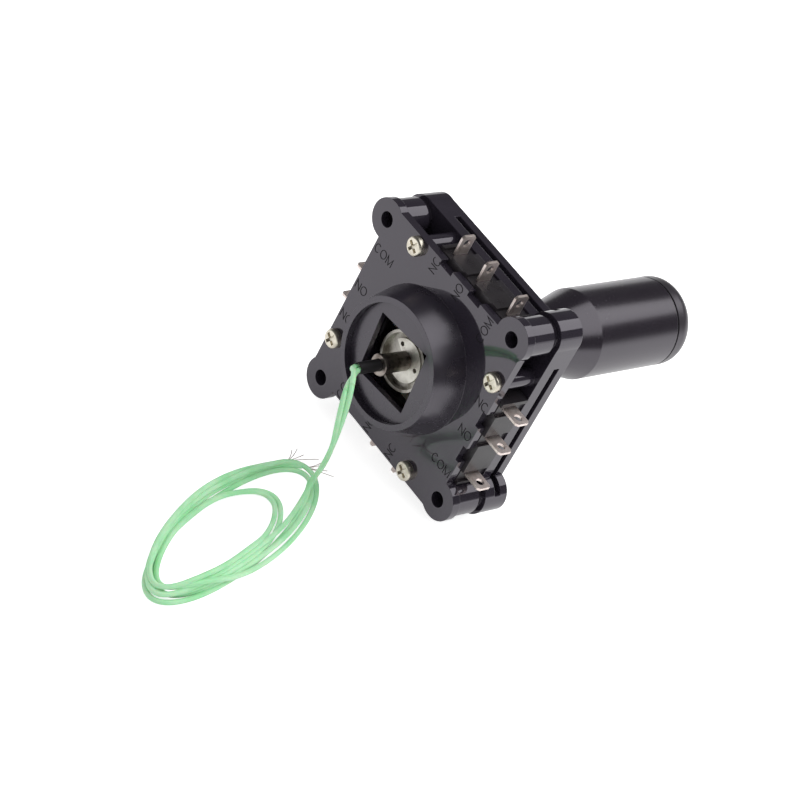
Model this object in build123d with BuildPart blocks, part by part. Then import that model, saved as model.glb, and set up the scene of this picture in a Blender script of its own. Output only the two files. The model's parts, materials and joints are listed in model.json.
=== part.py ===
from build123d import *
from math import asin, cos, pi, radians, sin, sqrt, tan
import os

os.makedirs("parts", exist_ok=True)

# Industrial joystick, in millimetres. X runs along the stick towards the knob and Z is up as it
# lies on a bench. The origin is the stick's pivot, in the plane X = 0 where the body meets a panel.
# Four snap switches stand round the stick. Side 0 is the top one, and each next side is a quarter
# turn further about X. On a side, "along" runs with the switch and "out" points away from the stick.

# Fits
run_gap = 0.03          # radial running clearance of a pivot pin
press_gap = 0.01        # radial gap of pieces that are pressed together
slip_gap = 0.1          # gap round pieces that slide or drop into place

# Body mouldings
plate_t = 1.8
front_t = 5.5           # thickness of the front moulding
ear_pitch = 36.0        # bolt hole square
ear_r = 4.0
ear_hole_r = 1.5
post_r = 3.6
side_slant = 5.5        # degrees that the switches are turned from the bolt square
rear_half = 19.56       # half width of the rear plate's slanted square
front_half = 20.13      # half width of the front moulding's slanted square
notch_w = 3.4
notch_depth = 0.9
notch_shift = (2.5, 3.8)            # how far the two notches of a side lie from the NC and NO tabs
notched_sides = (0, 1)              # the upper and the right side
groove_w = 1.4
groove_depth = 3.0
groove_len = 29.0
flange_t = 1.8
spacer_r = 2.9          # short neck between a rear post and the front moulding
spacer_len = 1.3

# Collar behind the rear plate, and the gate plate in its mouth
collar_h = 6.4
collar_base_r = 13.7
collar_rim_r = 12.1
collar_bore_r = 10.95
collar_ledge_r = 9.9
collar_ledge_t = 1.0
gate_depth = 1.4        # from the collar's rim to the gate plate
gate_t = 1.2
gate_half = 6.45        # half width of the square opening
gate_clip_gap = 0.05

# Screws that hold the two mouldings together
screw_along = 10.85
screw_out = 17.5
screw_r = 1.0
screw_head_r = 1.87
screw_head_h = 1.2
screw_head_round = 0.5
screw_len = 9.5
recess_w = 0.62
recess_l = 2.5
recess_depth = 0.55
boss_r = 1.75

# Snap switches: the plunger faces the stick and the tabs face out
switch_len = 19.8
switch_h = 10.2
switch_t = 6.4
switch_gap = 0.1        # between the rear plate and a switch
switch_in = 10.1         # stick's axis to the switch's plunger face
switch_tail = 12.2      # plunger's middle to the switch's COM end
cover_t = 1.3
case_wall = 1.0
case_floor = 1.6        # wall that holds the tabs
peg_r = 1.1
peg_gap = 0.08
peg_len = 5.0
peg_spacing = 9.5
peg_from_tail = 5.15
peg_from_tabs = 2.9
peg_boss_r = 1.9
tab_places = (5.6, -1.47, -10.4)    # NC, NO and COM, from the plunger's middle
tab_w = 3.2
tab_t = 0.5
tab_out = 3.6           # length of a tab outside the case
tab_hole_r = 0.8
tab_hole_at = 1.6       # from a tab's end to its hole
tab_chamfer = 0.45
tab_foot = (5.5, 3.0, 6.9)          # length of each tab inside the case's outer face
tab_slot_w = 2.4        # channel that a tab stands in, between the pads
pad_h = 0.6             # low pads between the tabs
plunger_out = 2.4
plunger_in = 2.1
plunger_w = 2.2
plunger_t = 2.8
plunger_lip = 0.6
plunger_round = 0.5
blade_t = 0.2
blade_w = 2.6
blade_over = 1.6        # how much longer the blade is than the two tabs are apart
contact_r = 0.7
contact_h = 0.35

# Gimbal in the front moulding
spigot_r = 10.0
spigot_h = 4.5
throat_r = 8.6
lip_r = 7.0
lip_t = 0.8
ring_gap = 0.4          # between the gimbal ring and the throat
ring_half = 1.6
pin_r = 0.8
pin_seat = 1.2          # depth of a ring pin in the wall of the front moulding
pin_inset = 0.4         # from the ring's inner face to the inner end of its pins
stick_pin_inset = 0.3   # from the ring's outer face to the outer end of the stick's pins
hub_r = 4.5
hub_gap = 0.9           # between the pivot hub and the gimbal ring
hub_back = 3.2
hub_front = 6.0
hub_chamfer = 0.4

# Stick: solid shaft, thin tube through it, and what slides on them
shaft_r = 3.0
shaft_tail = 2.2        # how far the shaft stands out behind the actuator
tube_r = 1.8
tube_in_r = 1.17
tube_proud = 1.9        # how far the tube stands out behind the collar's rim
tube_lip = 0.5          # how far it stands out of the shaft in the knob
flare_r = 2.05
flare_t = 0.5
flare_round = 0.15
flare_slope = 0.25
actuator_r = 6.0
actuator_tail = 1.7     # switches' middle to the actuator's rear face
actuator_cone = 1.2
actuator_band = 1.9
actuator_neck_r = 3.9
actuator_head_r = 4.9
actuator_round = 0.4
cup_r = 5.75
cup_floor_t = 0.5
cup_rim_t = 0.55
cup_depth = 1.2
cup_clear = 1.2         # between the cup's rim and the gate plate
cup_round = 0.4
clip_t = 0.5
clip_r = 4.1
clip_gap = 0.05
clip_groove = 0.3
clip_open = 70.0        # degrees of the clip's mouth
clip_eye_r = 0.45
clip_eye_out = 3.05     # stick's axis to each eye of the clip
clip_eye_turn = 17.0    # degrees from the edge of the mouth to an eye
spring_wire_r = 0.35
spring_r = 4.2
spring_turns = 3.25

# Dust dome that slides over the spigot
dome_gap = 0.25
dome_t = 1.0
dome_half = 52.0        # degrees from the stick's axis to the dome's edge
dome_neck_r = 4.2

# Knob with a push button and a small switch in it
knob_tail = 14.0
knob_tail_r = 4.9
knob_shoulder = 27.2
knob_r = 8.75
knob_shoulder_r = 0.5
knob_end = 48.9
knob_bore_r = 7.2
knob_wire_r = 4.5
knob_wire_room = 4.5    # from the shaft's end to the switch in the knob
seam = 0.4
cap_len = 4.7
cap_round = 3.2
cap_spigot = 3.2
cap_fit = 0.05
button_r = 5.8
button_proud = 1.6
button_lip_r = 6.4
button_lip_t = 1.2
button_gap = 0.1
button_wall = 0.9
button_top_t = 1.8
button_round = 0.8
button_stem_r = 1.6
button_travel = 1.2
grub_x = 20.0
grub_r = 1.5
grub_len = 3.2
grub_hex_r = 0.8
grub_hex_depth = 0.9
push_case_w = 12.0
push_case_t = 5.8
push_case_h = 7.0
push_case_round = 0.4
push_bore = 3.0         # depth of the hole that the push plunger slides in
push_holder_t = 1.0
push_holder_gap = 0.6   # between the holder and the cap's spigot
push_plunger_r = 0.9
push_plunger_in = 1.6   # length of the plunger inside the case
push_travel = 0.4
push_pin_r = 0.3
push_pin_at = 2.54
push_pin_len = 2.2
push_pin_seat = 1.5
push_spring_r = 3.4
push_spring_wire_r = 0.3
push_spring_turns = 4.25

# Wires: two thin leads in a sleeve through the tube
wire_d = 0.95
sleeve_r = 1.12
sleeve_in_r = 0.97
sleeve_proud = 5.1      # how far the sleeve stands out of the tube
sleeve_in = 10.1        # length of the sleeve in the tube
lead_bend_r = 0.9       # bend of the leads towards the pins in the knob
lead_straight = 0.6     # straight run of the leads past the tube
lead_end = 1.9          # from the switch in the knob to the leads' last bend
lead_solder = 0.3       # from that switch to the leads' ends
coil_h = 2.6
coil_at = (-54.0, -10.0)
coil_long = 28.0
coil_wide = 9.2
coil_turn = 24.0
coil_eye_at = (-57.5, -11.2)
coil_eye_long = 18.0
coil_eye_wide = 5.4

# Places that follow from the sizes: x_... is a place along X, and ..._back a distance behind the pivot
x_front = -front_t
x_plate = x_front - switch_t - switch_gap
x_rear = x_plate - plate_t
x_post = x_front - spacer_len
x_rim = x_rear - collar_h
x_gate = x_rim + gate_depth
x_switch = x_front - switch_t / 2
x_cap = knob_end + seam
x_cap_end = x_cap + cap_len
knob_floor = x_cap - cap_spigot - push_holder_gap - push_holder_t - push_case_h
shaft_front = knob_floor - knob_wire_room
tube_front = shaft_front + tube_lip
actuator_back = actuator_tail - x_switch
shaft_back = actuator_back + shaft_tail
cup_back = -x_gate - gate_t - cup_clear
x_cup = cup_depth - cup_back
tube_back = tube_proud - x_rim
sleeve_back = tube_back + sleeve_proud
ring_out_r = throat_r - ring_gap
ring_in_r = hub_r + hub_gap
switch_out = switch_in + switch_h
switch_mid = switch_len / 2 - switch_tail
tab_end = switch_out + tab_out
floor_z = -(tab_end * cos(radians(side_slant)) + (tab_places[0] + tab_t / 2) * sin(radians(side_slant)))


def side_plane(side, x, out):
    """Plane that looks outwards on one side, its x along the switch and its y towards the rear."""
    turn = radians(90 * side + side_slant)
    outwards = (0, -sin(turn), cos(turn))
    return Plane(origin=(x, out * outwards[1], out * outwards[2]),
                 x_dir=(0, cos(turn), sin(turn)), z_dir=outwards)


def all_sides():
    """The four sides, in a sketch that looks along X: a place is (along, out)."""
    return PolarLocations(0, 4, start_angle=side_slant)


def one_side(side):
    """One side, in a sketch that looks along X."""
    return Locations(Location((0, 0, 0), (0, 0, 90 * side + side_slant)))


def body_outline(half):
    """Slanted square with a round ear at each bolt hole."""
    Rectangle(2 * half, 2 * half, rotation=side_slant)
    with GridLocations(ear_pitch, ear_pitch, 2, 2):
        Circle(ear_r)


def turned(*points, mode=Mode.ADD):
    """Adds or cuts a body turned about the stick's axis, from an outline of (x, radius) points."""
    with BuildSketch(Plane.XY) as outline:
        with BuildLine():
            Polyline(*points, close=True)
        make_face()
    revolve(outline.sketch, axis=Axis.X, mode=mode)


def save(piece, name):
    """Labels a finished piece and writes it as one file."""
    piece.part.label = name
    export_step(piece.part, f"parts/{name}.step")


# Rear moulding: plate, ear posts, screw bosses and the collar
with BuildPart() as rear_housing:
    with BuildSketch(Plane.YZ.offset(x_rear)):
        body_outline(rear_half)
        for side in notched_sides:
            with one_side(side):
                with Locations(*[(place - shift, rear_half) for place, shift in zip(tab_places, notch_shift)]):
                    Rectangle(notch_w, 2 * notch_depth, mode=Mode.SUBTRACT)
    extrude(amount=plate_t)
    with BuildSketch(Plane.YZ.offset(x_plate)):
        with GridLocations(ear_pitch, ear_pitch, 2, 2):
            Circle(post_r)
        with all_sides():
            with Locations((screw_along, screw_out)):
                Circle(boss_r)
    extrude(amount=x_post - x_plate)
    turned((x_rear, 0), (x_rear, collar_base_r), (x_rim, collar_rim_r), (x_rim, 0))
    turned((x_rim, 0), (x_rim, collar_bore_r), (x_gate + gate_t, collar_bore_r),
           (x_gate + gate_t, collar_ledge_r), (x_gate + gate_t + collar_ledge_t, collar_ledge_r),
           (x_gate + gate_t + collar_ledge_t, collar_bore_r), (x_plate, collar_bore_r), (x_plate, 0),
           mode=Mode.SUBTRACT)
    with BuildSketch(Plane.YZ.offset(x_rear)):
        with GridLocations(ear_pitch, ear_pitch, 2, 2):
            Circle(ear_hole_r)
        with all_sides():
            with Locations((screw_along, screw_out)):
                Circle(screw_r + press_gap)
    extrude(amount=x_post - x_rear, mode=Mode.SUBTRACT)
save(rear_housing, "rear_housing")

# Gate plate: a disc in the collar's mouth whose square opening limits the stick
with BuildPart() as gate_plate:
    with BuildSketch(Plane.YZ.offset(x_gate)):
        Circle(collar_bore_r - gate_clip_gap)
        Rectangle(2 * gate_half, 2 * gate_half, mode=Mode.SUBTRACT)
    extrude(amount=gate_t)
save(gate_plate, "gate_plate")

# Front moulding: panel face, grooved sides, pegs for the switches, spigot and throat for the gimbal
with BuildPart() as front_housing:
    with BuildSketch(Plane.YZ.offset(x_front)):
        body_outline(front_half)
    extrude(amount=front_t)
    for side in range(4):
        with BuildSketch(side_plane(side, -flange_t - groove_w / 2, front_half - groove_depth)):
            Rectangle(groove_len, groove_w)
        extrude(amount=2 * groove_depth, mode=Mode.SUBTRACT)
    with BuildSketch(Plane.YZ.offset(x_front)):
        with GridLocations(ear_pitch, ear_pitch, 2, 2):
            Circle(spacer_r)
        with all_sides():
            with Locations((screw_along, screw_out)):
                Circle(boss_r)
    extrude(amount=x_post - x_front)
    with BuildSketch(Plane.YZ.offset(x_front)):
        with all_sides():
            with Locations((peg_from_tail - switch_tail, switch_out - peg_from_tabs),
                           (peg_from_tail - switch_tail + peg_spacing, switch_out - peg_from_tabs)):
                Circle(peg_r)
    extrude(amount=-peg_len)
    with BuildSketch(Plane.YZ):
        Circle(spigot_r)
    extrude(amount=spigot_h)
    turned((x_front, 0), (x_front, throat_r), (spigot_h - lip_t, throat_r), (spigot_h - lip_t, lip_r),
           (spigot_h, lip_r), (spigot_h, 0),
           mode=Mode.SUBTRACT)
    with BuildSketch(Plane.YZ.offset(x_post)):
        with GridLocations(ear_pitch, ear_pitch, 2, 2):
            Circle(ear_hole_r)
    extrude(amount=-x_post, mode=Mode.SUBTRACT)
    with BuildSketch(Plane.YZ.offset(x_post)):
        with all_sides():
            with Locations((screw_along, screw_out)):
                Circle(screw_r + press_gap)
    extrude(amount=x_rear + screw_len - x_post + slip_gap, mode=Mode.SUBTRACT)
    with BuildSketch(Plane.XZ):
        Circle(pin_r + press_gap)
    extrude(amount=throat_r + pin_seat + press_gap, both=True, mode=Mode.SUBTRACT)
save(front_housing, "front_housing")

# Four pan-head screws with a cross recess
with BuildPart() as housing_screws:
    with BuildSketch(Plane.YZ.offset(x_rear)):
        with all_sides():
            with Locations((screw_along, screw_out)):
                Circle(screw_head_r)
    extrude(amount=-screw_head_h)
    fillet(housing_screws.edges().group_by(Axis.X)[0], screw_head_round)
    with BuildSketch(Plane.YZ.offset(x_rear)):
        with all_sides():
            with Locations((screw_along, screw_out)):
                Circle(screw_r)
    extrude(amount=screw_len)
    with BuildSketch(Plane.YZ.offset(x_rear - screw_head_h)):
        with all_sides():
            with Locations((screw_along, screw_out)):
                Rectangle(recess_l, recess_w, rotation=30)
                Rectangle(recess_w, recess_l, rotation=30)
    extrude(amount=recess_depth, mode=Mode.SUBTRACT)
save(housing_screws, "housing_screws")

side_names = ("up", "right", "down", "left")
peg_places = [(peg_from_tail - switch_tail + n * peg_spacing, switch_out - peg_from_tabs) for n in (0, 1)]
x_cover = x_front - cover_t
case_depth = switch_t - cover_t


def switch_block(side, x, depth, inset=0.0, tab_wall=0.0):
    """Rectangle of the switch seen along X on one side, drawn at x and run depth towards the rear."""
    with BuildSketch(Plane.YZ.offset(x)) as block:
        with one_side(side):
            with Locations((switch_mid, switch_in + switch_h / 2 - tab_wall / 2)):
                Rectangle(switch_len - 2 * inset, switch_h - 2 * inset - tab_wall)
    return extrude(block.sketch, amount=-depth, mode=Mode.PRIVATE)


for side, side_name in enumerate(side_names):

    # Switch case: a tray open towards the front, with bosses for the pegs
    with BuildPart() as case:
        add(switch_block(side, x_cover, case_depth))
        add(switch_block(side, x_cover, case_depth - case_wall, case_wall, case_floor - case_wall + pad_h),
            mode=Mode.SUBTRACT)
        with BuildSketch(Plane.YZ.offset(x_cover)):
            with one_side(side):
                with Locations(*peg_places):
                    Circle(peg_boss_r)
        extrude(amount=-case_depth)
        with BuildSketch(side_plane(side, x_cover - case_depth / 2, switch_out - pad_h)):
            with Locations(*[(place, 0) for place in tab_places]):
                Rectangle(tab_slot_w, case_depth)
        extrude(amount=pad_h, mode=Mode.SUBTRACT)
        with BuildSketch(Plane.YZ.offset(x_cover)):
            with one_side(side):
                with Locations(*peg_places):
                    Circle(peg_r + peg_gap)
        extrude(amount=-case_depth, mode=Mode.SUBTRACT)
        with BuildSketch(side_plane(side, x_switch, switch_out - pad_h - case_floor)):
            with Locations(*[(place, 0) for place in tab_places]):
                Rectangle(tab_t + 2 * press_gap, tab_w + 2 * press_gap)
        extrude(amount=pad_h + case_floor, mode=Mode.SUBTRACT)
        with BuildSketch(side_plane(side, x_switch, switch_in)):
            Rectangle(plunger_w + 2 * slip_gap, plunger_t + 2 * slip_gap)
        extrude(amount=case_wall, mode=Mode.SUBTRACT)
    save(case, f"switch_case_{side_name}")

    # Switch cover: a flat lid on the front of the case
    with BuildPart() as cover:
        add(switch_block(side, x_front, cover_t))
        with BuildSketch(Plane.YZ.offset(x_front)):
            with one_side(side):
                with Locations(*peg_places):
                    Circle(peg_r + peg_gap)
        extrude(amount=-cover_t, mode=Mode.SUBTRACT)
        with BuildSketch(side_plane(side, x_switch, switch_out - pad_h)):
            with Locations(*[(place, 0) for place in tab_places]):
                Rectangle(tab_slot_w, switch_t)
        extrude(amount=pad_h, mode=Mode.SUBTRACT)
        with BuildSketch(side_plane(side, x_switch, switch_in)):
            Rectangle(plunger_w + 2 * slip_gap, plunger_t + 2 * slip_gap)
        extrude(amount=case_wall, mode=Mode.SUBTRACT)
    save(cover, f"switch_cover_{side_name}")

    # Three solder tabs, each with its foot inside the case
    with BuildPart() as tabs:
        for place, foot in zip(tab_places, tab_foot):
            with BuildSketch(side_plane(side, x_switch, switch_out - foot)):
                with Locations((place, 0)):
                    Rectangle(tab_t, tab_w)
            extrude(amount=foot + tab_out)
        chamfer(tabs.edges().filter_by(lambda edge: abs(edge.length - tab_t) < 0.001)
                .filter_by(lambda edge: edge.center().dot(side_plane(side, 0, 1).z_dir) > tab_end - 0.001),
                tab_chamfer)
        with BuildSketch(Plane(origin=side_plane(side, x_switch, tab_end - tab_hole_at).origin,
                               x_dir=(1, 0, 0), z_dir=side_plane(side, 0, 1).x_dir)):
            Circle(tab_hole_r)
        extrude(amount=switch_len, both=True, mode=Mode.SUBTRACT)
    save(tabs, f"switch_tabs_{side_name}")

    # Plunger: slides in and out through the case, with a lip that keeps it in
    with BuildPart() as plunger:
        with BuildSketch(side_plane(side, x_switch, switch_in - plunger_out)):
            Rectangle(plunger_w, plunger_t)
        extrude(amount=plunger_out + plunger_in)
        inner_face = plunger.faces().sort_by(lambda face: face.center().dot(side_plane(side, 0, 1).z_dir))[0]
        fillet(inner_face.edges(), plunger_round)
        with BuildSketch(side_plane(side, x_switch, switch_in + plunger_in - plunger_lip)):
            Rectangle(plunger_w + 2 * plunger_lip, plunger_t)
        extrude(amount=plunger_lip)
    save(plunger, f"switch_plunger_{side_name}")

    # Snap blade: a spring strip from the COM foot to the contact under the NC foot
    blade_at = switch_out - tab_foot[2] - blade_t
    with BuildPart() as blade:
        with BuildSketch(side_plane(side, x_switch, blade_at)):
            with Locations(((tab_places[0] + tab_places[2]) / 2, 0)):
                Rectangle(tab_places[0] - tab_places[2] + blade_over, blade_w)
        extrude(amount=blade_t)
        with BuildSketch(side_plane(side, x_switch, blade_at + blade_t)):
            with Locations((tab_places[0], 0)):
                Circle(contact_r)
        extrude(amount=contact_h)
    save(blade, f"switch_blade_{side_name}")

# Gimbal ring: turns on two pins in the front moulding and carries the stick's two pins
with BuildPart() as gimbal_ring:
    with BuildSketch(Plane.YZ.offset(-ring_half)):
        Circle(ring_out_r)
        Circle(ring_in_r, mode=Mode.SUBTRACT)
    extrude(amount=2 * ring_half)
    for plane in (Plane.XZ, Plane.XY):
        with BuildSketch(plane):
            Circle(pin_r + run_gap)
        extrude(amount=spigot_r, both=True, mode=Mode.SUBTRACT)
save(gimbal_ring, "gimbal_ring")

with BuildPart() as gimbal_pins:
    for way in (-1, 1):
        with BuildSketch(Plane.XZ.offset(way * (ring_in_r + pin_inset))):
            Circle(pin_r)
        extrude(amount=way * (throat_r + pin_seat - ring_in_r - pin_inset))
save(gimbal_pins, "gimbal_pins")

with BuildPart() as stick_pins:
    for way in (-1, 1):
        with BuildSketch(Plane.XY.offset(way * (shaft_r + slip_gap))):
            Circle(pin_r)
        extrude(amount=way * (ring_out_r - stick_pin_inset - shaft_r - slip_gap))
save(stick_pins, "stick_pins")

# Pivot hub: the block on the shaft that the stick's pins sit in
with BuildPart() as pivot_hub:
    turned((-hub_back, shaft_r + press_gap), (-hub_back, hub_r), (hub_front, hub_r),
           (hub_front, shaft_r + press_gap))
    chamfer(pivot_hub.edges().filter_by(GeomType.CIRCLE).filter_by(lambda edge: edge.radius > hub_r - 0.01),
            hub_chamfer)
    with BuildSketch(Plane.XY):
        Circle(pin_r + press_gap)
    extrude(amount=ring_out_r, both=True, mode=Mode.SUBTRACT)
save(pivot_hub, "pivot_hub")

# Stick: a turned shaft with a thin tube pressed through it, flared at its rear end
with BuildPart() as stick_shaft:
    turned((-shaft_back, tube_r + press_gap), (-shaft_back, shaft_r), (shaft_front, shaft_r),
           (shaft_front, tube_r + press_gap))
save(stick_shaft, "stick_shaft")

clip_back = -x_cup + clip_gap + clip_t
with BuildPart() as shaft_tube:
    turned((-tube_back, tube_in_r), (-tube_back, flare_r - flare_round), (-tube_back + flare_round, flare_r),
           (-tube_back + flare_t, flare_r), (-tube_back + flare_t + flare_slope, tube_r),
           (-clip_back - clip_gap, tube_r), (-clip_back - clip_gap, tube_r - clip_groove),
           (-clip_back + clip_t + clip_gap, tube_r - clip_groove), (-clip_back + clip_t + clip_gap, tube_r),
           (tube_front, tube_r), (tube_front, tube_in_r))
save(shaft_tube, "shaft_tube")

# Actuator: the disc on the shaft that presses the switch plungers
actuator_front = actuator_back - actuator_cone - actuator_band
with BuildPart() as actuator:
    turned((-actuator_back, shaft_r + press_gap), (-actuator_back, actuator_head_r),
           (-actuator_back + actuator_cone, actuator_r), (-actuator_front, actuator_r),
           (-actuator_front, actuator_neck_r), (-hub_back, actuator_neck_r),
           (-hub_back, shaft_r + press_gap))
    fillet(actuator.edges().filter_by(GeomType.CIRCLE).filter_by(lambda edge: edge.radius > actuator_r - 0.01),
           actuator_round)
save(actuator, "actuator")

# Spring cup and the clip that holds it on the tube
with BuildPart() as spring_cup:
    turned((x_cup + cup_floor_t, tube_r + press_gap), (x_cup + cup_floor_t, cup_r - cup_round),
           (x_cup + cup_floor_t - cup_round, cup_r), (-cup_back, cup_r), (-cup_back, cup_r - cup_rim_t),
           (x_cup, cup_r - cup_rim_t), (x_cup, tube_r + press_gap))
save(spring_cup, "spring_cup")

with BuildPart() as retaining_clip:
    with BuildSketch(Plane.YZ.offset(-clip_back)):
        Circle(clip_r)
        Circle(tube_r - clip_groove + press_gap, mode=Mode.SUBTRACT)
        with BuildLine():
            mouth_x = 2 * clip_r * cos(radians(clip_open / 2))
            mouth_y = 2 * clip_r * sin(radians(clip_open / 2))
            Polyline((0, 0), (mouth_x, mouth_y), (mouth_x, -mouth_y), close=True)
        make_face(mode=Mode.SUBTRACT)
        with PolarLocations(clip_eye_out, 2, start_angle=clip_open / 2 + clip_eye_turn,
                            angular_range=360 - 2 * clip_eye_turn - clip_open):
            Circle(clip_eye_r, mode=Mode.SUBTRACT)
    extrude(amount=clip_t)
save(retaining_clip, "retaining_clip")


def coil_spring(x_low, x_high, radius, wire_r, turns):
    """Round wire wound about the stick's axis, its ends just clear of both seats."""
    pitch = (x_high - x_low - 2 * wire_r - 2 * press_gap) / turns
    start = x_low + wire_r + press_gap
    with BuildPart() as spring:
        with BuildLine() as path:
            Helix(pitch=pitch, height=pitch * turns, radius=radius, center=(start, 0, 0), direction=(1, 0, 0))
        with BuildSketch(Plane(origin=path.line @ 0, z_dir=path.line % 0)):
            Circle(wire_r)
        sweep(path=path.line, is_frenet=True)
    return spring


return_spring = coil_spring(x_cup + cup_floor_t, -actuator_back, spring_r, spring_wire_r, spring_turns)
save(return_spring, "return_spring")

# Dust dome: a cap of a sphere round the pivot, with a neck up to the knob
dome_in = sqrt(spigot_r ** 2 + spigot_h ** 2) + dome_gap
dome_out = dome_in + dome_t
dome_hole = shaft_r + press_gap


def dome_point(radius, turn):
    """Point of the dome's section at a radius from the pivot and a turn from the stick's axis."""
    return radius * cos(turn), radius * sin(turn)


with BuildPart() as dust_dome:
    with BuildSketch(Plane.XY):
        with BuildLine():
            edge_turn = radians(dome_half)
            hole_turn = asin(dome_hole / dome_in)
            neck_turn = asin(dome_neck_r / dome_out)
            ThreePointArc(dome_point(dome_in, edge_turn), dome_point(dome_in, (edge_turn + hole_turn) / 2),
                          dome_point(dome_in, hole_turn))
            Polyline(dome_point(dome_in, hole_turn), (knob_tail, dome_hole), (knob_tail, dome_neck_r),
                     dome_point(dome_out, neck_turn))
            ThreePointArc(dome_point(dome_out, neck_turn), dome_point(dome_out, (edge_turn + neck_turn) / 2),
                          dome_point(dome_out, edge_turn))
            Line(dome_point(dome_out, edge_turn), dome_point(dome_in, edge_turn))
        make_face()
    revolve(axis=Axis.X)
save(dust_dome, "dust_dome")

# Knob barrel: tapered tail, round barrel, bored for the button's switch
with BuildPart() as knob_barrel:
    with BuildSketch(Plane.XY) as barrel_outline:
        with BuildLine():
            Polyline((knob_tail, 0), (knob_tail, knob_tail_r), (knob_shoulder, knob_r), (knob_end, knob_r),
                     (knob_end, 0), close=True)
        make_face()
        fillet(barrel_outline.vertices().filter_by(
            lambda point: abs(point.X - knob_shoulder) < 0.01 and abs(point.Y - knob_r) < 0.01), knob_shoulder_r)
    revolve(axis=Axis.X)
    turned((knob_tail, 0), (knob_tail, shaft_r + press_gap), (shaft_front, shaft_r + press_gap),
           (shaft_front, knob_wire_r), (knob_floor, knob_wire_r), (knob_floor, knob_bore_r),
           (knob_end, knob_bore_r), (knob_end, 0),
           mode=Mode.SUBTRACT)
    with BuildSketch(Plane.XZ.offset(-shaft_r).shift_origin(Vector(grub_x, shaft_r, 0))):
        Circle(grub_r + press_gap)
    extrude(amount=-knob_r, mode=Mode.SUBTRACT)
save(knob_barrel, "knob_barrel")

with BuildPart() as grub_screw:
    grub_foot = Vector(grub_x, shaft_r + press_gap, 0)
    with BuildSketch(Plane.XZ.offset(-shaft_r - press_gap).shift_origin(grub_foot)):
        Circle(grub_r)
    extrude(amount=-grub_len)
    with BuildSketch(Plane.XZ.offset(-shaft_r - grub_len).shift_origin(Vector(grub_x, shaft_r + grub_len, 0))):
        RegularPolygon(grub_hex_r, 6)
    extrude(amount=grub_hex_depth, mode=Mode.SUBTRACT)
save(grub_screw, "grub_screw")

# Knob cap: rounded ring that closes the barrel and guides the button
button_lip_front = x_cap + button_lip_t / 4
with BuildPart() as knob_cap:
    with BuildSketch(Plane.XY) as cap_outline:
        with BuildLine():
            Polyline((x_cap - cap_spigot, 0), (x_cap - cap_spigot, knob_bore_r - cap_fit),
                     (x_cap, knob_bore_r - cap_fit), (x_cap, knob_r), (x_cap_end, knob_r), (x_cap_end, 0),
                     close=True)
        make_face()
        fillet(cap_outline.vertices().filter_by(
            lambda point: abs(point.X - x_cap_end) < 0.01 and abs(point.Y - knob_r) < 0.01),
            min(cap_round, 0.95 * cap_len))
    revolve(axis=Axis.X)
    turned((x_cap - cap_spigot, 0), (x_cap - cap_spigot, button_lip_r + button_gap),
           (button_lip_front, button_lip_r + button_gap), (button_lip_front, button_r + button_gap),
           (x_cap_end, button_r + button_gap), (x_cap_end, 0),
           mode=Mode.SUBTRACT)
save(knob_cap, "knob_cap")

# Push button: a hollow cap with a stem that presses the switch in the knob
x_holder = knob_floor + push_case_h + push_holder_t
x_stem = x_holder + push_travel + button_travel + button_gap
with BuildPart() as push_button:
    with BuildSketch(Plane.XY) as button_outline:
        with BuildLine():
            lip_front = button_lip_front - press_gap
            button_end = x_cap_end + button_proud
            Polyline((lip_front - button_lip_t, button_r - button_wall),
                     (lip_front - button_lip_t, button_lip_r), (lip_front, button_lip_r),
                     (lip_front, button_r), (button_end, button_r), (button_end, 0), (x_stem, 0),
                     (x_stem, button_stem_r), (button_end - button_top_t, button_stem_r),
                     (button_end - button_top_t, button_r - button_wall), close=True)
        make_face()
        fillet(button_outline.vertices().filter_by(
            lambda point: abs(point.X - button_end) < 0.01 and abs(point.Y - button_r) < 0.01), button_round)
    revolve(axis=Axis.X)
save(push_button, "push_button")

button_spring = coil_spring(x_holder, button_end - button_top_t,
                            push_spring_r, push_spring_wire_r, push_spring_turns)
save(button_spring, "button_spring")

# Switch in the knob: case, holder disc, plunger and two pins
with BuildPart() as push_switch_case:
    with BuildSketch(Plane.YZ.offset(knob_floor)):
        Rectangle(push_case_w, push_case_t)
    extrude(amount=push_case_h)
    fillet(push_switch_case.edges().filter_by(Axis.X), push_case_round)
    with BuildSketch(Plane.YZ.offset(knob_floor + push_case_h)):
        Circle(push_plunger_r + slip_gap)
    extrude(amount=-push_bore, mode=Mode.SUBTRACT)
    with BuildSketch(Plane.YZ.offset(knob_floor)):
        with Locations((-push_pin_at, 0), (push_pin_at, 0)):
            Circle(push_pin_r + press_gap)
    extrude(amount=push_pin_seat, mode=Mode.SUBTRACT)
save(push_switch_case, "push_switch_case")

with BuildPart() as push_holder:
    with BuildSketch(Plane.YZ.offset(x_holder - push_holder_t)):
        Circle(knob_bore_r - cap_fit)
        Circle(push_plunger_r + 2 * slip_gap, mode=Mode.SUBTRACT)
    extrude(amount=push_holder_t)
save(push_holder, "push_holder")

with BuildPart() as push_plunger:
    with BuildSketch(Plane.YZ.offset(x_holder + push_travel + button_gap / 2 + push_travel)):
        Circle(push_plunger_r)
    extrude(amount=-(push_travel * 2 + button_gap / 2 + push_holder_t + push_plunger_in))
save(push_plunger, "push_plunger")

with BuildPart() as push_pins:
    with BuildSketch(Plane.YZ.offset(knob_floor + push_pin_seat)):
        with Locations((-push_pin_at, 0), (push_pin_at, 0)):
            Circle(push_pin_r)
    extrude(amount=-push_pin_len - push_pin_seat)
save(push_pins, "push_pins")

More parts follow.
